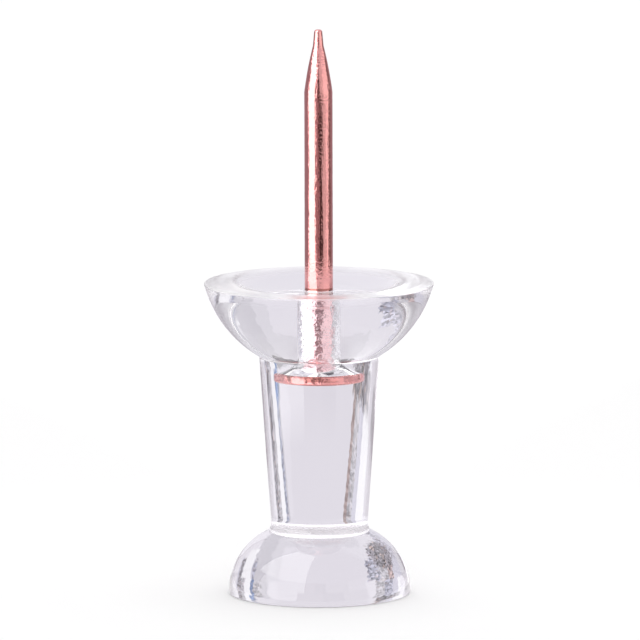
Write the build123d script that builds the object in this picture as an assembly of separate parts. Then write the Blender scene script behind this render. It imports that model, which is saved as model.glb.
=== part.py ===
from build123d import *
import os

# A clear push pin standing on the flat end of its head, point up. A spool-shaped handle is moulded in one
# piece round the headed end of a plated steel pin. The origin is the centre of the flat end, and +Z runs
# along the pin towards its point.

# Driving dimensions in millimetres
overall_length = 20.0  # flat end of the head to the point

# Handle: the head that a finger presses on
head_diameter = 6.44
head_height = 2.24  # flat end to the foot of the neck
head_edge_radius = 0.06

# Handle: the neck that the fingers hold
neck_foot_diameter = 3.38
neck_top_diameter = 4.23
neck_length = 6.20
neck_foot_fillet = 0.35
neck_top_fillet = 0.10

# Handle: the bowl-shaped flange that meets the board
flange_diameter = 8.11  # across the rim, before its edge is eased
flange_height = 2.59  # top of the neck to the lip
bowl_radius = 4.2  # curve of the flange's underside
rim_edge_radius = 0.05
lip_width = 1.04  # flat ring between the rim and the dish
lip_edge_radius = 0.50  # eases the ring into the dish
dish_depth = 0.26

# Pin: the wire and its point
wire_diameter = 1.0
point_length = 2.21  # shoulder to the very tip
point_curve_radius = 13.0  # the point's sides are slightly full
nub_length = 0.57  # blunt end of the point
nub_diameter = 0.375
tip_diameter = 0.29
tip_edge_radius = 0.10

# Pin: the headed end inside the handle
pin_head_depth = 3.45  # lip down to the underside of the pin's head
pin_head_diameter = 2.13
pin_head_thickness = 0.32
pin_head_edge_radius = 0.08
flare_diameter = 1.96  # foot of the hollow curve between the head and the wire
flare_height = 0.70
swell_diameter = 1.05  # the wire just above the flare, thickened when the head was pressed
swell_runout = 0.05  # the thickened stretch ends this far above the dish

# Heights of the handle's edges
neck_top = head_height + neck_length
lip_top = neck_top + flange_height
dish_floor = lip_top - dish_depth

# Radii of the handle's edges
head_r = head_diameter / 2
neck_foot_r = neck_foot_diameter / 2
neck_top_r = neck_top_diameter / 2
flange_r = flange_diameter / 2
dish_r = flange_r - lip_width
dish_curve_r = (dish_r**2 + dish_depth**2) / (2 * dish_depth)

# Heights of the pin's edges
pin_head_bottom = lip_top - pin_head_depth
pin_head_top = pin_head_bottom + pin_head_thickness
flare_top = pin_head_top + flare_height
wire_start = dish_floor + swell_runout
nub_start = overall_length - nub_length
shoulder = overall_length - point_length


def turned(section):
    """Turn a half section, drawn with x as radius and y as height, about the Z axis."""
    return revolve(Plane.XZ * section, Axis.Z)


def eased(section, corner, radius):
    """Round the corner of a half section that lies nearest to a point."""
    return fillet(section.vertices().sort_by_distance(corner)[0], radius)


def pin():
    """Headed wire with a flare under the head, a plain exposed shank and a blunt point."""
    outline = Polyline(
        (nub_diameter / 2, nub_start),
        (tip_diameter / 2, overall_length),
        (0, overall_length),
        (0, pin_head_bottom),
        (pin_head_diameter / 2, pin_head_bottom),
        (pin_head_diameter / 2, pin_head_top),
        (flare_diameter / 2, pin_head_top),
    )
    outline += TangentArc(
        (swell_diameter / 2, flare_top), (flare_diameter / 2, pin_head_top), tangent=(0, -1)
    )
    outline += Polyline(
        (swell_diameter / 2, flare_top),
        (wire_diameter / 2, wire_start),
        (wire_diameter / 2, shoulder),
    )
    outline += RadiusArc(
        (wire_diameter / 2, shoulder), (nub_diameter / 2, nub_start), -point_curve_radius
    )
    section = make_face(outline)
    section = eased(section, (tip_diameter / 2, overall_length), tip_edge_radius)
    section = eased(section, (pin_head_diameter / 2, pin_head_bottom), pin_head_edge_radius)
    section = eased(section, (pin_head_diameter / 2, pin_head_top), pin_head_edge_radius)
    return turned(section)


def handle(moulded_in):
    """One moulding: domed head, tapered neck and dished flange, closed round the pin it holds."""
    outline = Line((0, 0), (head_r, 0))
    outline += TangentArc((head_r, 0), (neck_foot_r, head_height), tangent=(0, 1))
    outline += Line((neck_foot_r, head_height), (neck_top_r, neck_top))
    outline += RadiusArc((neck_top_r, neck_top), (flange_r, lip_top), -bowl_radius)
    outline += Line((flange_r, lip_top), (dish_r, lip_top))
    outline += RadiusArc((dish_r, lip_top), (0, dish_floor), dish_curve_r)
    outline += Line((0, dish_floor), (0, 0))
    section = make_face(outline)
    section = eased(section, (head_r, 0), head_edge_radius)
    section = eased(section, (neck_foot_r, head_height), neck_foot_fillet)
    section = eased(section, (neck_top_r, neck_top), neck_top_fillet)
    section = eased(section, (flange_r, lip_top), rim_edge_radius)
    section = eased(section, (dish_r, lip_top), lip_edge_radius)
    return turned(section) - moulded_in


steel_pin = pin()
clear_handle = handle(steel_pin)

os.makedirs("parts", exist_ok=True)
export_step(clear_handle, "parts/clear_handle.step")
export_step(steel_pin, "parts/steel_pin.step")
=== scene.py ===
from math import atan2, cos, pi, radians, sin, sqrt

import bpy
from mathutils import Matrix, Vector


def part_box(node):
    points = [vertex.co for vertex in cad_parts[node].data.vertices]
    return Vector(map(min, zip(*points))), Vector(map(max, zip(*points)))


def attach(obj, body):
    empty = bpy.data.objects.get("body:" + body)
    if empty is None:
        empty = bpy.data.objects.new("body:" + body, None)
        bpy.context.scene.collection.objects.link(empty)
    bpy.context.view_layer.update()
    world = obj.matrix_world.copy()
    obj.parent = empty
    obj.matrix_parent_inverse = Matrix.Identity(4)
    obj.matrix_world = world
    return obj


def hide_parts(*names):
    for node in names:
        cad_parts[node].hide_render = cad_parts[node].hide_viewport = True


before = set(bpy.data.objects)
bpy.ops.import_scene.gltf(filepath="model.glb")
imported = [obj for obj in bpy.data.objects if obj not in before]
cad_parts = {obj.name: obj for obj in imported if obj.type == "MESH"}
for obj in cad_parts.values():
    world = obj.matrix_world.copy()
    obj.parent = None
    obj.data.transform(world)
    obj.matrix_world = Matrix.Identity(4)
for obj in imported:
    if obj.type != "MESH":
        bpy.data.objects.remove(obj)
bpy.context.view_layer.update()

# Steel pin
# One length of drawn steel wire with bright rose copper plating. Its lower end is pressed into a flat head
# with a flare above it, its upper end is ground to a blunt point, and the handle is moulded round the head.
mm = 0.001
pin_low, pin_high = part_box("steel_pin")
wire_r = 0.50 * mm
swell_r = 0.525 * mm
wire_start = 10.82 * mm
pin_head_r = pin_high.x
pin_head_thick = 0.32 * mm
pin_head_edge = 0.08 * mm
pin_head_bottom = pin_low.z
pin_head_top = pin_head_bottom + pin_head_thick
flare_r = 0.98 * mm
flare_height = 0.70 * mm
flare_top = pin_head_top + flare_height
point_length = 2.21 * mm
point_curve_r = 13.0 * mm
point_top = pin_high.z
shoulder = point_top - point_length
nub_r = 0.1875 * mm
nub_length = 0.57 * mm
nub_start = point_top - nub_length
tip_r = 0.145 * mm
tip_edge = 0.10 * mm
edge_steps = 6
root_steps = 8
curve_steps = 16
wire_steps = 16
pin_segments = 160
weld_distance = 0.001 * mm
crease_angle = radians(35)


def place(r, z):
    """A point of a half section, at a radius and a height."""
    return Vector((r, 0, z))


class Section:
    """A half section drawn point by point in the XZ plane, then turned about Z as on a lathe."""

    def __init__(self, name, r, z):
        bpy.ops.object.select_all(action="DESELECT")
        bpy.ops.mesh.primitive_plane_add(size=mm)
        self.piece = bpy.context.object
        self.piece.name = name
        bpy.ops.object.mode_set(mode="EDIT")
        bpy.ops.mesh.merge(type="CENTER")
        bpy.ops.transform.translate(value=(r, 0, z))
        self.at = place(r, z)

    def line(self, r, z, steps=1):
        """Extrude the last point in a straight line to a new place."""
        goal = place(r, z)
        step = (goal - self.at) / steps
        for _ in range(steps):
            bpy.ops.mesh.extrude_region_move(TRANSFORM_OT_translate={"value": step})
        self.at = goal

    def arc(self, centre, goal, steps):
        """Spin the last point about a centre until it faces the goal, which lies on the same circle."""
        start = self.at - centre
        end = goal - centre
        turn = atan2(end.z, end.x) - atan2(start.z, start.x)
        turn = (turn + pi) % (2 * pi) - pi
        bpy.ops.mesh.spin(steps=steps, angle=turn, center=centre, axis=(0, 1, 0))
        self.at = goal.copy()

    def turned(self, segments):
        """Spin the whole section once round Z, close its poles and shade it as a smooth turned piece."""
        bpy.ops.mesh.select_all(action="SELECT")
        bpy.ops.mesh.spin(steps=segments, angle=2 * pi, center=(0, 0, 0), axis=(0, 0, 1))
        bpy.ops.mesh.select_all(action="SELECT")
        bpy.ops.mesh.remove_doubles(threshold=weld_distance)
        bpy.ops.mesh.normals_make_consistent(inside=False)
        bpy.ops.object.mode_set(mode="OBJECT")
        bpy.ops.object.shade_smooth_by_angle(angle=crease_angle)
        smooth = self.piece.modifiers.new("even_normals", "WEIGHTED_NORMAL")
        smooth.keep_sharp = True
        bpy.ops.object.modifier_apply(modifier=smooth.name)
        return self.piece


def arc_centre(start, end, radius):
    """Centre of the arc from start to end that has it on its left."""
    across = end - start
    left = Vector((-across.z, 0, across.x)).normalized()
    return (start + end) / 2 + left * sqrt(radius**2 - (across.length / 2) ** 2)


def curve_r(depth, span):
    """Radius of the arc that leaves its tangent by a depth over a span."""
    return (depth**2 + span**2) / (2 * depth)


flare_curve_r = curve_r(flare_r - swell_r, flare_height)
flare_centre = place(swell_r + flare_curve_r, flare_top)
point_centre = arc_centre(place(wire_r, shoulder), place(nub_r, nub_start), point_curve_r)

pin_section = Section("plated_pin", 0, pin_head_bottom)
pin_section.line(pin_head_r - pin_head_edge, pin_head_bottom)
pin_section.arc(
    place(pin_head_r - pin_head_edge, pin_head_bottom + pin_head_edge),
    place(pin_head_r, pin_head_bottom + pin_head_edge),
    edge_steps,
)
pin_section.line(pin_head_r, pin_head_top - pin_head_edge)
pin_section.arc(
    place(pin_head_r - pin_head_edge, pin_head_top - pin_head_edge),
    place(pin_head_r - pin_head_edge, pin_head_top),
    edge_steps,
)
pin_section.line(flare_r, pin_head_top)
pin_section.arc(flare_centre, place(swell_r, flare_top), curve_steps)
pin_section.line(wire_r, wire_start, root_steps)
pin_section.line(wire_r, shoulder, wire_steps)
pin_section.arc(point_centre, place(nub_r, nub_start), curve_steps)
pin_section.line(tip_r, point_top - tip_edge)
pin_section.arc(
    place(tip_r - tip_edge, point_top - tip_edge),
    place(tip_r - tip_edge, point_top),
    edge_steps,
)
pin_section.line(0, point_top)
pin = pin_section.turned(pin_segments)


class Value:
    """A shader socket that adds, multiplies and subtracts as a number does."""

    def __init__(self, finish, socket):
        self.finish = finish
        self.socket = socket

    def math(self, operation, first, second):
        return self.finish.node("ShaderNodeMath", {"operation": operation}, {0: first, 1: second})

    def __add__(self, other):
        return self.math("ADD", self, other)

    def __radd__(self, other):
        return self.math("ADD", other, self)

    def __mul__(self, other):
        return self.math("MULTIPLY", self, other)

    def __rmul__(self, other):
        return self.math("MULTIPLY", other, self)

    def __sub__(self, other):
        return self.math("SUBTRACT", self, other)

    def __rsub__(self, other):
        return self.math("SUBTRACT", other, self)


class Finish:
    """A node material: each call to node adds one node and returns one of its outputs."""

    def __init__(self, name):
        self.material = bpy.data.materials.new(name)
        self.material.use_nodes = True
        self.tree = self.material.node_tree

    def fill(self, node, inputs):
        """Link or set a node's inputs by name or number."""
        for name, given in inputs.items():
            if isinstance(given, Value):
                self.tree.links.new(given.socket, node.inputs[name])
            else:
                node.inputs[name].default_value = given

    def node(self, kind, settings=None, inputs=None, output=0):
        """Add a node, with its settings set first, and return one of its outputs."""
        made = self.tree.nodes.new(kind)
        for name, setting in (settings or {}).items():
            if name == "stops":
                self.hold(made.color_ramp, setting)
            else:
                setattr(made, name, setting)
        self.fill(made, inputs or {})
        return Value(self, made.outputs[output])

    def hold(self, ramp, stops):
        """Give a ramp colours that each hold from their own stop to the next."""
        ramp.interpolation = "CONSTANT"
        while len(ramp.elements) < len(stops):
            ramp.elements.new(1)
        for element, (position, colour) in zip(ramp.elements, stops):
            element.position = position
            element.color = colour

    def spots(self, scale, detail, coordinates):
        """Noise from 0 to 1, about 0.5 on average."""
        return self.node(
            "ShaderNodeTexNoise", None, {"Vector": coordinates, "Scale": scale, "Detail": detail}
        )

    def part(self, vector, axis):
        """One axis of a vector, or one channel of a colour."""
        return self.node("ShaderNodeSeparateXYZ", None, {"Vector": vector}, axis)

    def rise(self, value, start, end):
        """From 0 to 1 as a value goes from start to end."""
        return self.node("ShaderNodeMapRange", None, {0: value, 1: start, 2: end})

    def between(self, factor, first, second):
        """A colour part of the way from the first to the second."""
        return self.node(
            "ShaderNodeMix",
            {"data_type": "RGBA"},
            {"Factor": factor, 6: first, 7: second},
            2,
        )

    def surface(self, piece, inputs):
        """Set the shader's inputs and put the finish on a piece."""
        self.fill(self.tree.nodes["Principled BSDF"], inputs)
        piece.data.materials.clear()
        piece.data.materials.append(self.material)


rose_copper = (0.90, 0.43, 0.41, 1)
deep_copper = (0.82, 0.36, 0.34, 1)
# Paler copper for the wire and flare inside the handle: a painted veil of light from the plastic in front
painted_veil_copper = (0.94, 0.68, 0.68, 1)
# Dark copper for the painted shade and painted reflections on the plating
painted_dark_copper = (0.42, 0.155, 0.13, 1)

# Pattern scales, in spots to the metre
drawn_line_scale = 9000
drawn_line_stretch = 0.08
pit_scale = 12000
blotch_scale = 2600
dent_scale = 5500
# Size of the spots of painted reflection on the head's rim
rim_reflection_scale = 2200

# Noise levels between which a spot of painted reflection sets in on the rim, and how dark the painted
# reflections and the painted shade are
rim_reflection_from = 0.50
rim_reflection_full = 0.57
rim_reflection_dark = 0.8
foot_shade = 0.5

# Roughness of the plating, and the depths of its marks as shares of the bump
polish = 0.03
line_roughness = 0.06
line_depth = 0.5
pit_depth = 0.4
head_dent_depth = 2.0
flare_dent_depth = 2.8
plating_bump = 0.03 * mm

# Heights between which the look of the plating changes
flare_look_full = pin_head_top + 0.2 * mm
bare_look_start = wire_start - 0.1 * mm
# Height below which the painted shade at the foot of the head is full
foot_shade_low = pin_head_bottom + 0.02 * mm
# Heights above which the painted reflections on the upper rim of the head set in
rim_reflection_low = pin_head_bottom + 0.10 * mm
rim_reflection_high = pin_head_bottom + 0.16 * mm
# Heights of the painted shade on the wire where it comes out of the handle
mouth_shade_low = wire_start + 0.03 * mm
mouth_shade_high = wire_start + 0.07 * mm

plating = Finish("rose_copper_plating")
on_wire = plating.node("ShaderNodeTexCoord", None, None, "Object")
along_wire = plating.node(
    "ShaderNodeMapping", None, {"Vector": on_wire, "Scale": (1, 1, drawn_line_stretch)}
)
drawn_lines = plating.spots(drawn_line_scale, 3, along_wire)
pits = plating.spots(pit_scale, 2, on_wire)
blotches = plating.spots(blotch_scale, 4, on_wire)
dents = plating.spots(dent_scale, 2, on_wire)
# Spots of painted reflection: dark copper standing in for what the head's upper rim mirrors
rim_reflection_spots = plating.rise(plating.spots(rim_reflection_scale, 1, on_wire), rim_reflection_from, rim_reflection_full)
height_on_wire = plating.part(on_wire, "Z")
above_head = plating.rise(height_on_wire, pin_head_top, flare_look_full)
above_handle = plating.rise(height_on_wire, bare_look_start, wire_start)
off_foot = plating.rise(height_on_wire, foot_shade_low, pin_head_bottom + pin_head_edge)
off_rim = plating.rise(height_on_wire, rim_reflection_low, rim_reflection_high)
off_mouth = plating.rise(height_on_wire, mouth_shade_low, mouth_shade_high)

# The plating is painted dark: painted shade in a line at the foot of the head and where the wire comes
# out of the handle, and painted reflections in spots on the upper rim of the head
on_upper_rim = off_rim - above_head
painted_dark_marks = foot_shade * (1 - off_foot) + above_handle * (1 - off_mouth) + rim_reflection_dark * rim_reflection_spots * on_upper_rim
plain_copper = plating.between(blotches, rose_copper, deep_copper)
copper_with_painted_dark = plating.between(painted_dark_marks, plain_copper, painted_dark_copper)

# Dents are deepest inside the handle, and the bare wire has none
flare_dents = (flare_dent_depth - head_dent_depth) * above_head
dent_depth = head_dent_depth + flare_dents - flare_dent_depth * above_handle
plating_relief = line_depth * drawn_lines + pit_depth * pits + dents * dent_depth
plating.surface(
    pin,
    {
        # Inside the handle the copper is painted paler, a painted veil of light over the buried wire and
        # flare
        "Base Color": plating.between(above_head - above_handle, copper_with_painted_dark, painted_veil_copper),
        "Metallic": 1.0,
        "Roughness": polish + line_roughness * drawn_lines,
        "Normal": plating.node(
            "ShaderNodeBump", None, {"Strength": 0.8, "Distance": plating_bump, "Height": plating_relief}
        ),
    }
)
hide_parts("steel_pin")
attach(pin, "root")

# Clear handle
# One glossy moulding in clear acrylic: a domed head to press, a tapered neck to hold and a bowl-shaped
# flange with a shallow dish. The plastic has shrunk a hair away from the wire, but grips the pin's head.
head_r = 3.22 * mm
head_height = 2.24 * mm
head_edge = 0.06 * mm
neck_foot_r = 1.69 * mm
neck_top_r = 2.115 * mm
neck_top = 8.44 * mm
neck_foot_fillet = 0.35 * mm
neck_top_fillet = 0.10 * mm
flange_r = 4.055 * mm
bowl_r = 4.2 * mm
rim_edge = 0.05 * mm
lip_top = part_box("clear_handle")[1].z
lip_width = 1.04 * mm
lip_edge = 0.50 * mm
dish_r = flange_r - lip_width
dish_depth = 0.26 * mm
shrink_gap = 0.012 * mm
fillet_steps = 8
straight_steps = 12
dish_steps = 20
bowl_steps = 32
dome_steps = 40
handle_segments = 256


def beside(centre, reach, start, direction):
    """The far point, along a line from start, that lies a given reach from a centre."""
    offset = start - centre
    along = offset.dot(direction)
    return start + direction * (sqrt(along**2 - offset.length_squared + reach**2) - along)


def toward(centre, other, reach):
    """The point at a given reach from a centre, on the side of another point."""
    return centre + (other - centre).normalized() * reach


outward = Vector((1, 0, 0))
upward = Vector((0, 0, 1))
up_neck = (place(neck_top_r, neck_top) - place(neck_foot_r, head_height)).normalized()
off_neck = Vector((up_neck.z, 0, -up_neck.x))

dome_r = curve_r(head_r - neck_foot_r, head_height)
dome_centre = place(head_r - dome_r, 0)
head_edge_centre = beside(dome_centre, dome_r - head_edge, place(0, head_edge), outward)
foot_line = place(neck_foot_r, head_height) + off_neck * neck_foot_fillet
foot_centre = beside(dome_centre, dome_r + neck_foot_fillet, foot_line, up_neck)

bowl_centre = arc_centre(place(neck_top_r, neck_top), place(flange_r, lip_top), bowl_r)
throat_line = place(neck_top_r, neck_top) + off_neck * neck_top_fillet
throat_centre = beside(bowl_centre, bowl_r + neck_top_fillet, throat_line, -up_neck)
throat_foot = throat_centre - off_neck * neck_top_fillet
rim_centre = beside(bowl_centre, bowl_r - rim_edge, place(0, lip_top - rim_edge), outward)

dish_curve_r = curve_r(dish_depth, dish_r)
dish_centre = place(0, lip_top - dish_depth + dish_curve_r)
lip_centre = beside(dish_centre, dish_curve_r + lip_edge, place(0, lip_top - lip_edge), outward)
mouth_line = place(wire_r + shrink_gap, lip_top - dish_depth / 2)
mouth = beside(dish_centre, dish_curve_r, mouth_line, -upward)
bore_foot = toward(flare_centre, place(flare_r, pin_head_top), flare_curve_r - shrink_gap)

outline = Section("clear_moulding", 0, 0)
outline.line(head_edge_centre.x, 0, straight_steps)
outline.arc(head_edge_centre, toward(dome_centre, head_edge_centre, dome_r), edge_steps)
outline.arc(dome_centre, toward(dome_centre, foot_centre, dome_r), dome_steps)
outline.arc(foot_centre, foot_centre - off_neck * neck_foot_fillet, straight_steps)
outline.line(throat_foot.x, throat_foot.z, straight_steps)
outline.arc(throat_centre, toward(bowl_centre, throat_centre, bowl_r), fillet_steps)
outline.arc(bowl_centre, toward(bowl_centre, rim_centre, bowl_r), bowl_steps)
outline.arc(rim_centre, rim_centre + upward * rim_edge, fillet_steps)
outline.line(lip_centre.x, lip_top, edge_steps)
outline.arc(lip_centre, toward(dish_centre, lip_centre, dish_curve_r), fillet_steps)
outline.arc(dish_centre, mouth, dish_steps)
outline.line(swell_r + shrink_gap, flare_top, straight_steps)
outline.arc(flare_centre, bore_foot, curve_steps)
outline.line(0, (pin_head_bottom + pin_head_top) / 2)
handle = outline.turned(handle_segments)

clear_tint = (0.92, 0.905, 0.935, 1)
faint_haze = (0.90, 0.885, 0.915, 1)
lip_tint = (1, 1, 1, 1)
flow_scale = 420
handling_scale = 1500
ripple_scale = 8000
lip_haze_low = lip_top - 0.10 * mm
lip_haze_high = lip_top - 0.03 * mm
bore_look_r = 0.6 * mm
bore_look_end_r = 0.7 * mm
handling_roughness = 0.03
lip_roughness = 0.27
flow_depth = 0.05
ripple_depth = 1.8
acrylic_bump = 0.02 * mm


def off_axis(finish, coordinates, scale=(1, 1, 0)):
    """Distance from the Z axis, in coordinates that may be scaled first."""
    scaled = finish.node("ShaderNodeMapping", None, {"Vector": coordinates, "Scale": scale})
    return finish.node("ShaderNodeVectorMath", {"operation": "LENGTH"}, {0: scaled}, "Value")


acrylic = Finish("clear_acrylic")
on_handle = acrylic.node("ShaderNodeTexCoord", None, None, "Object")
flow = acrylic.spots(flow_scale, 2, on_handle)
handling = acrylic.spots(handling_scale, 5, on_handle)
ripples = acrylic.spots(ripple_scale, 2, on_handle)
height_on_handle = acrylic.part(on_handle, "Z")
on_lip = acrylic.rise(height_on_handle, lip_haze_low, lip_haze_high)
near_wire = acrylic.rise(off_axis(acrylic, on_handle), bore_look_end_r, bore_look_r)
in_bore = near_wire * acrylic.rise(height_on_handle, pin_head_bottom, pin_head_top)
body_tint = acrylic.between(flow, clear_tint, faint_haze)
acrylic_relief = flow_depth * flow + ripple_depth * in_bore * ripples
acrylic.surface(
    handle,
    {
        "Base Color": acrylic.between(on_lip, body_tint, lip_tint),
        "Roughness": handling_roughness * handling + lip_roughness * on_lip,
        "IOR": 1.49,
        "Transmission Weight": 1.0,
        "Normal": acrylic.node(
            "ShaderNodeBump", None, {"Strength": 1.0, "Distance": acrylic_bump, "Height": acrylic_relief}
        ),
    }
)
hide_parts("clear_handle")
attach(handle, "root")

# Table
# A matt white table under even white light from all round. It also glows a little of itself, and more where
# it is seen through the plastic, so that it stays white there and still takes the pin's shadow.
table_size = 3.0
table_drop = 0.02 * mm
open_glow = 0.06
plastic_glow = 0.36

bpy.ops.object.select_all(action="DESELECT")
bpy.ops.mesh.primitive_plane_add(size=table_size, location=(0, 0, -table_drop))
table = bpy.context.object
table.name = "table"
table_top = Finish("white_table")
camera_rays = table_top.node("ShaderNodeLightPath", None, None, "Is Camera Ray")
glossy_rays = table_top.node("ShaderNodeLightPath", None, None, "Is Glossy Ray")
clear_rays = table_top.node("ShaderNodeLightPath", None, None, "Is Transmission Ray")
table_top.surface(
    table,
    {
        "Base Color": (0.95, 0.95, 0.95, 1),
        "Roughness": 0.9,
        "Emission Color": (1, 1, 1, 1),
        "Emission Strength": open_glow * (camera_rays + glossy_rays) + plastic_glow * clear_rays,
    }
)

world = bpy.data.worlds.new("studio_light")
bpy.context.scene.world = world
world.use_nodes = True
light_all_round = world.node_tree.nodes["Background"]
light_all_round.inputs["Color"].default_value = (1, 1, 1, 1)
light_all_round.inputs["Strength"].default_value = 1.0

# Light tent
# A round tent of pale lilac cloth on the table, with a window of bright light at its front left, a dark
# gap in front where the camera looks in, and strips of crumpled foil at its back. The camera doesn't
# see it: it shows in what the pin and the handle mirror and bend.
tent_floor_r = 9 * mm
tent_r = 60 * mm
tent_fold_r = 1 * mm
tent_height = 300 * mm
tent_segments = 128
cloth_lift = 0.05 * mm

fold_centre = place(tent_r - tent_fold_r, cloth_lift + tent_fold_r)
cloth = Section("light_tent", tent_floor_r, cloth_lift)
cloth.line(tent_r - tent_fold_r, cloth_lift)
cloth.arc(fold_centre, fold_centre + outward * tent_fold_r, fillet_steps)
cloth.line(tent_r, tent_height)
tent = cloth.turned(tent_segments)

# Colours of the cloth. The fourth value says how crumpled it is.
lilac_cloth = (0.84, 0.82, 0.87, 0)
pale_cloth = (0.93, 0.91, 0.96, 0)
soft_cloth = (0.76, 0.745, 0.79, 0)
dim_cloth = (0.66, 0.645, 0.69, 0)
brim_cloth = (0.16, 0.15, 0.17, 0)
window = (2.6, 2.6, 2.6, 0)
bright_window = (2.1, 2.1, 2.1, 0)
high_window = (3.6, 3.6, 3.6, 0)
dusk = (0.40, 0.31, 0.325, 0)
rosy_dusk = (0.30, 0.22, 0.24, 0)
dark_gap = (0.07, 0.05, 0.05, 0)
shadow = (0.375, 0.335, 0.37, 0)
deep_shadow = (0.22, 0.18, 0.18, 0)
side_card = (0.75, 0.73, 0.73, 0)
pale_card = (1.2, 1.16, 1.16, 0)
grey_card = (0.58, 0.57, 0.60, 0)
dark_strip = (0.20, 0.18, 0.21, 0.8)
white_strip = (1.03, 1.03, 1.05, 0)
lilac_strip = (0.70, 0.69, 0.78, 0)
blue_edge = (0.26, 0.34, 0.54, 0.4)
slate_edge = (0.40, 0.42, 0.52, 0.4)
brown_edge = (0.47, 0.38, 0.37, 0.3)
pale_foil = (0.64, 0.63, 0.71, 0.5)
grey_foil = (0.57, 0.555, 0.595, 0.4)
blue_foil = (0.46, 0.46, 0.55, 0.6)
rosy_foil = (0.49, 0.38, 0.38, 0.7)
mid_foil = (0.33, 0.32, 0.36, 0.8)
dark_foil = (0.19, 0.175, 0.195, 0.9)
copper_glint = (0.66, 0.48, 0.40, 1)

# What the bare wire mirrors at each bearing, in degrees from the camera and growing to its right
mirrored = (
    (-180, lilac_cloth),
    (-166, shadow),
    (-98, dim_cloth),
    (-91, window),
    (-30, dusk),
    (4, dark_gap),
    (31, side_card),
    (66, pale_card),
    (92, deep_shadow),
    (120, shadow),
    (166, lilac_cloth),
)

# What the point of the wire mirrors, higher up
mirrored_high = (
    (-180, lilac_cloth),
    (-166, shadow),
    (-98, dim_cloth),
    (-91, window),
    (-22, dusk),
    (-8, dark_gap),
    (8, side_card),
    (40, pale_card),
    (100, deep_shadow),
    (125, shadow),
    (166, lilac_cloth),
)

# What the domed head mirrors from higher still, where the window goes on to the top of the tent
mirrored_top = (
    (-180, lilac_cloth),
    (-104, high_window),
    (-22, lilac_cloth),
)

# What is seen through the clear plastic: parts that several tiers share, then the foot of the tent and each
# tier of its wall
front_floor = (
    (-95, bright_window),
    (-18, white_strip),
    (108, dim_cloth),
)
front_low = (
    (-95, bright_window),
    (-18, side_card),
    (-3, shadow),
    (20, deep_shadow),
    (36, dim_cloth),
    (50, pale_card),
    (76, dim_cloth),
    (90, deep_shadow),
    (108, dim_cloth),
)
front = (
    (-115, bright_window),
    (-25, rosy_dusk),
    (20, pale_card),
    (90, grey_card),
)
right_strips = (
    (117, lilac_cloth),
    (129, pale_cloth),
    (135, mid_foil),
    (140.5, grey_foil),
    (144, white_strip),
)
foot = (
    (-180, lilac_cloth),
    (-160.5, brown_edge),
    (-158, grey_foil),
    (-152, lilac_strip),
    (-146.3, white_strip),
    (-131, pale_cloth),
    (-124, lilac_cloth),
) + front_floor + right_strips + (
    (150, slate_edge),
    (152.5, dim_cloth),
    (154.5, lilac_cloth),
)
low_wall = (
    (-180, lilac_cloth),
    (-163, dark_foil),
    (-154, mid_foil),
    (-144, grey_foil),
    (-139, pale_cloth),
    (-128, grey_card),
) + front_low + right_strips + (
    (150, blue_edge),
    (153.5, dim_cloth),
    (156, lilac_cloth),
)
mid_wall = (
    (-180, lilac_cloth),
    (-165, grey_foil),
    (-158.5, blue_foil),
    (-150, lilac_strip),
    (-143, white_strip),
    (-138, pale_cloth),
) + front + (
    (117, pale_cloth),
    (131, lilac_strip),
    (135, mid_foil),
    (141, grey_foil),
    (146, white_strip),
    (152, blue_edge),
    (155.5, grey_foil),
    (162, dim_cloth),
    (166, lilac_cloth),
)
high_wall = (
    (-180, lilac_cloth),
    (-169, blue_foil),
    (-161, grey_foil),
    (-152, rosy_foil),
    (-147, lilac_strip),
    (-133, soft_cloth),
    (-122, dark_strip),
) + front + (
    (117, pale_cloth),
    (131, lilac_strip),
    (135, mid_foil),
    (140.5, white_strip),
    (150.5, lilac_strip),
    (153, blue_foil),
    (156, dim_cloth),
    (165, soft_cloth),
    (172, lilac_cloth),
)
top_wall = (
    (-180, lilac_cloth),
    (-166, pale_foil),
    (-131, soft_cloth),
    (-122, dark_strip),
) + front + (
    (117, pale_cloth),
    (140.5, white_strip),
    (150.5, dim_cloth),
    (165, soft_cloth),
    (172, lilac_cloth),
)
upper_wall = (
    (-180, soft_cloth),
    (-170, lilac_cloth),
    (-152, pale_foil),
    (-139, lilac_strip),
    (-122, dark_strip),
) + front + (
    (117, pale_cloth),
    (150, dim_cloth),
    (167, soft_cloth),
)
brim = (
    (-180, brim_cloth),
    (-170, pale_cloth),
) + front + (
    (117, brim_cloth),
)
tiers = (
    (2.5 * mm, low_wall),
    (4.6 * mm, mid_wall),
    (13.5 * mm, high_wall),
    (27 * mm, top_wall),
    (36 * mm, upper_wall),
    (70 * mm, brim),
)
tier_blend = 0.3 * mm

# How the strips spread sideways as they go out over the floor and up the wall
near_reach = 27 * mm
far_reach = 107 * mm
near_lean = 0.99
far_lean = 1.065
view_slope = 6.6

# How the cloth is crumpled, and how far the edges of its strips wander
crease_scale = 300
facet_scale = 620
height_stretch = 0.18
glint_low = 0.86
glint_high = 0.90
glint_share = 0.5
edge_wander = 0.006
edge_wander_growth = 0.4
tier_wander = 0.3

# Where what the wire and head mirror changes: out along the floor, then up the wall twice
floor_fade = 20 * mm
floor_end = 26 * mm
shank_view_top = 11 * mm
point_view_start = 17 * mm
point_view_top = 32 * mm
head_view_start = 36 * mm

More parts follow.
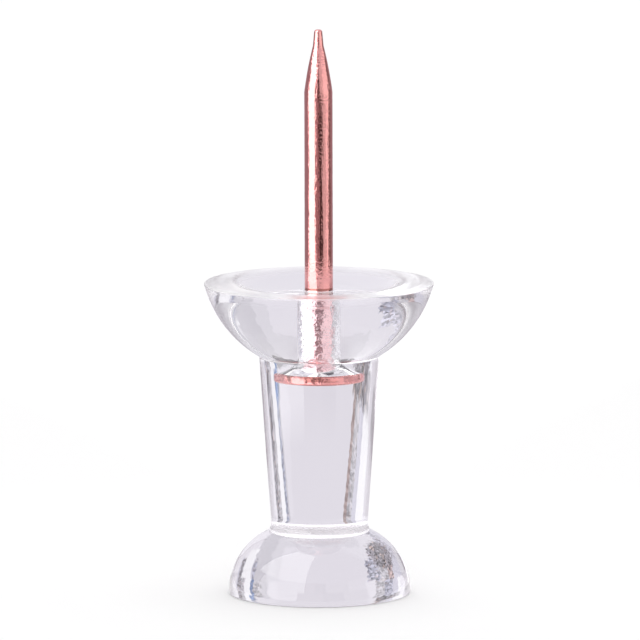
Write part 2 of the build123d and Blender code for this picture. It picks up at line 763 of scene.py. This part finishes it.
glow = Finish("tent_cloth")
in_tent = glow.node("ShaderNodeTexCoord", None, None, "Object")
across = glow.part(in_tent, "X")
depth = glow.part(in_tent, "Y")
height = glow.part(in_tent, "Z")
tall = glow.node("ShaderNodeMath", {"operation": "SQRT"}, {0: height * height_stretch})
creased = glow.node("ShaderNodeCombineXYZ", None, {"X": across, "Y": depth, "Z": tall})
ragged = glow.spots(crease_scale, 2, creased) - 0.5
facets = glow.node("ShaderNodeTexVoronoi", None, {"Vector": creased, "Scale": facet_scale}, "Color")
facet_light = glow.part(facets, "X")
glints = glow.rise(glow.part(facets, "Y"), glint_low, glint_high)
from_middle = off_axis(glow, in_tent)
leaning = glow.node(
    "ShaderNodeMapRange",
    None,
    {0: from_middle + view_slope * height, 1: near_reach, 2: far_reach, 3: near_lean, 4: far_lean},
)
bearing = glow.node("ShaderNodeMath", {"operation": "ARCTAN2"}, {0: across, 1: -1 * depth})
wander = ragged * (edge_wander + edge_wander_growth * height)
turn = bearing * leaning * (0.5 / pi) + 0.5 + wander
torn_height = height * (1 + tier_wander * ragged)


def bands(stretches, output):
    """Colour or crumple of the cloth, in stretches that begin at a bearing."""
    stops = [((start + 180) / 360, colour) for start, colour in stretches]
    return glow.node("ShaderNodeValToRGB", {"stops": stops}, {"Fac": turn}, output)


def shine(finish, piece, colour, light, cover=1.0):
    """Give a piece of the studio a finish that only glows, and hide it from the camera."""
    lit = finish.node("ShaderNodeVectorMath", {"operation": "SCALE"}, {0: colour, "Scale": light})
    finish.surface(
        piece,
        {
            "Base Color": (0, 0, 0, 1),
            "Specular IOR Level": 0.0,
            "Emission Color": lit,
            "Emission Strength": 1.0,
            "Alpha": cover,
        }
    )
    piece.visible_camera = False
    piece.visible_diffuse = False
    piece.visible_shadow = False


off_floor = glow.rise(from_middle, floor_fade, floor_end)
off_shank = glow.rise(height, shank_view_top, point_view_start)
off_point = glow.rise(height, point_view_top, head_view_start)
wire_view = glow.between(off_shank, bands(mirrored, "Color"), bands(mirrored_high, "Color"))
wall_view = glow.between(off_point, wire_view, bands(mirrored_top, "Color"))
mirrored_colour = glow.between(off_floor, lilac_cloth, wall_view)

cloth_colour = bands(foot, "Color")
crumple = bands(foot, "Alpha")
for start, stretches in tiers:
    above = glow.rise(torn_height, start - tier_blend, start + tier_blend)
    cloth_colour = glow.between(above, cloth_colour, bands(stretches, "Color"))
    crumple = crumple * (1 - above) + bands(stretches, "Alpha") * above
foil_colour = glow.between(glint_share * crumple * glints, cloth_colour, copper_glint)

through_plastic = glow.node("ShaderNodeLightPath", None, None, "Is Transmission Ray")
tent_colour = glow.between(through_plastic, mirrored_colour, foil_colour)
tent_light = 1 + through_plastic * crumple * (2 * facet_light - 1)
shine(glow, tent, tent_colour, tent_light)

# Foil card
# A torn piece of crumpled foil, held up close behind the pin on the left. It shows only through the clear
# plastic, dark in the right side of the domed head and at the top right of the neck.
card_bearing = radians(-149)
card_distance = 17 * mm
card_width = 7.2 * mm
card_low = 5.1 * mm
card_high = 12.4 * mm
card_height = card_high - card_low

bpy.ops.object.select_all(action="DESELECT")
bpy.ops.mesh.primitive_plane_add(
    size=mm,
    location=(
        card_distance * sin(card_bearing),
        -card_distance * cos(card_bearing),
        (card_low + card_high) / 2,
    ),
    rotation=(pi / 2, 0, card_bearing + pi),
)
card = bpy.context.object
card.name = "foil_card"
card.scale = (card_width / mm, card_height / mm, 1)
bpy.ops.object.transform_apply(location=False, rotation=False, scale=True)

card_foil = (0.30, 0.28, 0.31, 1)
card_facet_scale = 2700
darkest_facet = 0.3
facet_range = 1.4
card_tear = 0.3
card_whole = 0.95
card_end = 1.1

wrap = Finish("crumpled_foil")
on_card = wrap.node("ShaderNodeTexCoord", None, None, "Object")
card_facets = wrap.node(
    "ShaderNodeTexVoronoi", None, {"Vector": on_card, "Scale": card_facet_scale}, "Color"
)
card_light = darkest_facet + facet_range * wrap.part(card_facets, "X")
card_glints = wrap.rise(wrap.part(card_facets, "Y"), glint_low, glint_high)
card_colour = wrap.between(glint_share * card_glints, card_foil, copper_glint)
off_centre = off_axis(wrap, on_card, (2 / card_width, 2 / card_height, 0))
card_cover = wrap.rise(off_centre + card_tear * wrap.part(card_facets, "Z"), card_end, card_whole)
shine(wrap, card, card_colour, card_light, card_cover)
card.visible_glossy = False

# Camera
# A long lens a little above the table, level with the photograph's view of the pin. Its focal length
# gives the photograph's scale in a frame of 640 by 640 pixels.
image_pixels = 640
pixels_per_mm = 28.42
sensor_width = 36
near_clip = 10 * mm
camera_distance = 380 * mm
camera_rise = radians(8.6)
camera_roll = radians(-0.15)
aim = Vector((0.037 * mm, 0, 9.70 * mm))

lens = bpy.data.cameras.new("camera")
lens.sensor_width = sensor_width
lens.lens = sensor_width * camera_distance / (image_pixels / pixels_per_mm * mm)
lens.clip_start = near_clip
camera = bpy.data.objects.new("camera", lens)
bpy.context.scene.collection.objects.link(camera)
camera.location = aim + camera_distance * Vector((0, -cos(camera_rise), sin(camera_rise)))
tilt = Matrix.Rotation(pi / 2 - camera_rise, 3, "X") @ Matrix.Rotation(camera_roll, 3, "Z")
camera.rotation_euler = tilt.to_euler()
bpy.context.scene.camera = camera
bpy.context.scene.view_settings.view_transform = "Standard"

# Light runs round inside the clear plastic many times before it leaves
light_turns = 32
bpy.context.scene.cycles.max_bounces = light_turns
bpy.context.scene.cycles.glossy_bounces = light_turns
bpy.context.scene.cycles.transmission_bounces = light_turns
